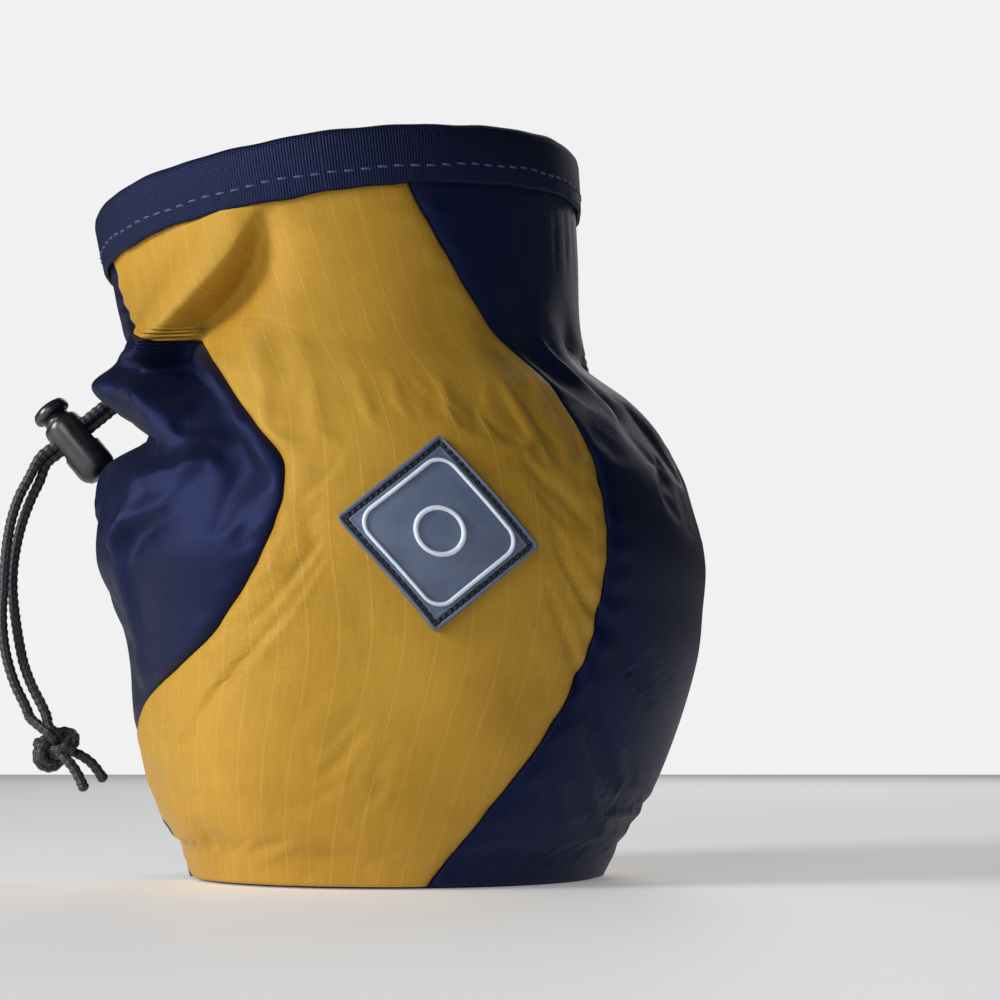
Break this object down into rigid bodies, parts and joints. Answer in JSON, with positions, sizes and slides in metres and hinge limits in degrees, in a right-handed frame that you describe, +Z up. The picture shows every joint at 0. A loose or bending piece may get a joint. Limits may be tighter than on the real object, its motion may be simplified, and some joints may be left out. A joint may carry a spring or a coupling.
{
  "type": "chalk bag",
  "caption": "Soft round climbing chalk bag with a stiffened rim, waist drawcord, sprung cord lock, rubber patch and rear belt loop.",
  "frame": {"origin": "centre of the underside of the base panel, on the surface the bag stands on", "axes": "+Z up through the bag, -Y towards the front panel with the patch, -X towards the side where the drawcord comes out"},
  "size_m": [0.1604, 0.14, 0.1627],
  "materials": {
    "yellow_fabric": "satin ripstop weave",
    "navy_fabric": "satin ripstop weave",
    "rim_tape": "ribbed woven tape",
    "fleece": "brushed fleece",
    "webbing": "woven webbing",
    "black_cord": "braided nylon",
    "black_plastic": "satin moulded",
    "hoop_plastic": "plain extruded",
    "spring_steel": "bright wire",
    "slate_rubber": "moulded matte rubber",
    "pale_rubber": "moulded matte rubber"
  },
  "bodies": {
    "bag": {"front_panel": "yellow_fabric", "back_panel": "yellow_fabric", "right_panel": "navy_fabric", "left_panel": "navy_fabric", "base_panel": "navy_fabric", "lining_wall": "fleece", "lining_base": "fleece", "rim_binding": "rim_tape", "rim_hoop": "hoop_plastic", "drawcord_casing": "navy_fabric", "drawcord_waist_loop": "black_cord", "cord_strand_front": "black_cord", "cord_strand_back": "black_cord", "cord_knot": "black_cord", "patch_base": "slate_rubber", "patch_border": "pale_rubber", "patch_motif": "pale_rubber", "belt_loop": "webbing"},
    "cord_lock": {"lock_barrel": "black_plastic", "lock_spring": "spring_steel"},
    "lock_plunger": {"lock_button": "black_plastic"}
  },
  "joints": [
    {"name": "lock_slide", "type": "slide", "parent": "bag", "child": "cord_lock", "axis": [-0.7694, 0, -0.6388], "range_m": [-0.003, 0.0025]},
    {"name": "button_press", "type": "slide", "parent": "cord_lock", "child": "lock_plunger", "axis": [0.6388, 0, -0.7694], "range_m": [0, 0.0016], "stiffness_N_per_m": 400, "springref_m": -0.002, "deforming": ["lock_spring"]}
  ]
}
